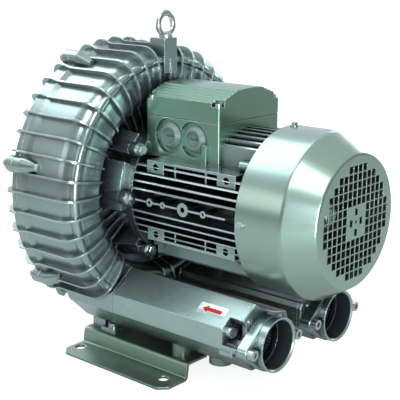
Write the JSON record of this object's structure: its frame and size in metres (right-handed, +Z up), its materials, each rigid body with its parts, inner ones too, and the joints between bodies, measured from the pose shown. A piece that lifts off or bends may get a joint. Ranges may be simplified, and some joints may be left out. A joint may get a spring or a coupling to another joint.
{
  "type": "side channel blower",
  "caption": "Side channel blower with a ribbed ring casing, finned motor, terminal box, silenced inlet and outlet ports, sheet feet and a lifting eye.",
  "frame": {"origin": "on the floor, at the centre of the four foot holes, under the motor axis", "axes": "+Z up, -Y to the front with the ports and the fan cover, +X to the right seen from the front, where the outlet is"},
  "size_m": [0.3852, 0.4192, 0.4593],
  "materials": {
    "casing": "die cast, thin grey-green paint, satin",
    "motor_cast": "die cast, satin",
    "box_cast": "die cast, satin",
    "cover_sheet": "silver-green paint, satin",
    "silencer_cast": "cast and smoothed, satin",
    "flange_cast": "cast, satin",
    "foot_plate": "grey-green paint, satin",
    "zinc_steel": "zinc plated",
    "bright_steel": "ground",
    "core_steel": "laminated sheet",
    "copper": "enamelled wire",
    "brass": "turned",
    "impeller_cast": "cast, bare",
    "rubber": "matte",
    "plastic_dark": "moulded",
    "plug_plastic": "moulded",
    "foam": "open-cell foam",
    "perforated_steel": "perforated sheet"
  },
  "bodies": {
    "blower": {"bearing_spring_washer": "bright_steel", "blower_housing": "casing", "cable_entry_plugs": "plug_plastic", "cover_screws": "zinc_steel", "cover_seal": "rubber", "drive_bearing_outer": "bright_steel", "duct_gaskets": "rubber", "end_plate_screws": "zinc_steel", "end_shield": "motor_cast", "end_shield_screws": "zinc_steel", "eye_bolt": "zinc_steel", "fan_bearing_outer": "bright_steel", "fan_cover": "cover_sheet", "fan_cover_screws": "zinc_steel", "foot_bolts": "zinc_steel", "foot_left": "foot_plate", "foot_nuts": "zinc_steel", "foot_right": "foot_plate", "foot_washers": "zinc_steel", "front_foot_bolts": "zinc_steel", "inlet_end_plate": "silencer_cast", "inlet_foam": "foam", "inlet_liner": "perforated_steel", "inlet_port_flange": "flange_cast", "inlet_silencer": "silencer_cast", "motor_flange_bolts": "zinc_steel", "motor_flange_washers": "zinc_steel", "motor_frame": "motor_cast", "outlet_end_plate": "silencer_cast", "outlet_foam": "foam", "outlet_liner": "perforated_steel", "outlet_port_flange": "flange_cast", "outlet_silencer": "silencer_cast", "port_gaskets": "rubber", "port_screws": "zinc_steel", "rear_cover": "casing", "shaft_seal": "rubber", "silencer_screws": "zinc_steel", "stator_core": "core_steel", "stator_winding": "copper", "terminal_base_screws": "zinc_steel", "terminal_board": "plastic_dark", "terminal_box_base": "box_cast", "terminal_box_gasket": "rubber", "terminal_box_lid": "box_cast", "terminal_lid_screws": "zinc_steel", "terminal_links": "brass", "terminal_studs": "brass"},
    "rotor": {"shaft": "bright_steel", "impeller_key": "bright_steel", "impeller": "impeller_cast", "impeller_washer": "zinc_steel", "impeller_screw": "zinc_steel", "rotor_core": "core_steel", "cooling_fan": "plastic_dark", "fan_clip": "zinc_steel", "drive_bearing_inner": "bright_steel", "fan_bearing_inner": "bright_steel"},
    "drive_balls": {"drive_bearing_balls": "bright_steel"},
    "fan_balls": {"fan_bearing_balls": "bright_steel"}
  },
  "joints": [
    {"name": "rotor_spin", "type": "hinge", "parent": "blower", "child": "rotor", "pos_m": [0, 0, 0.228], "axis": [0, 1, 0], "continuous": true},
    {"name": "drive_cage_spin", "type": "hinge", "parent": "blower", "child": "drive_balls", "pos_m": [0, 0.0195, 0.228], "axis": [0, 1, 0], "continuous": true},
    {"name": "fan_cage_spin", "type": "hinge", "parent": "blower", "child": "fan_balls", "pos_m": [0, -0.1915, 0.228], "axis": [0, 1, 0], "continuous": true}
  ],
  "couplings": [
    {"joint": "drive_cage_spin", "follows": "rotor_spin", "ratio": 0.3984},
    {"joint": "fan_cage_spin", "follows": "rotor_spin", "ratio": 0.3984}
  ]
}
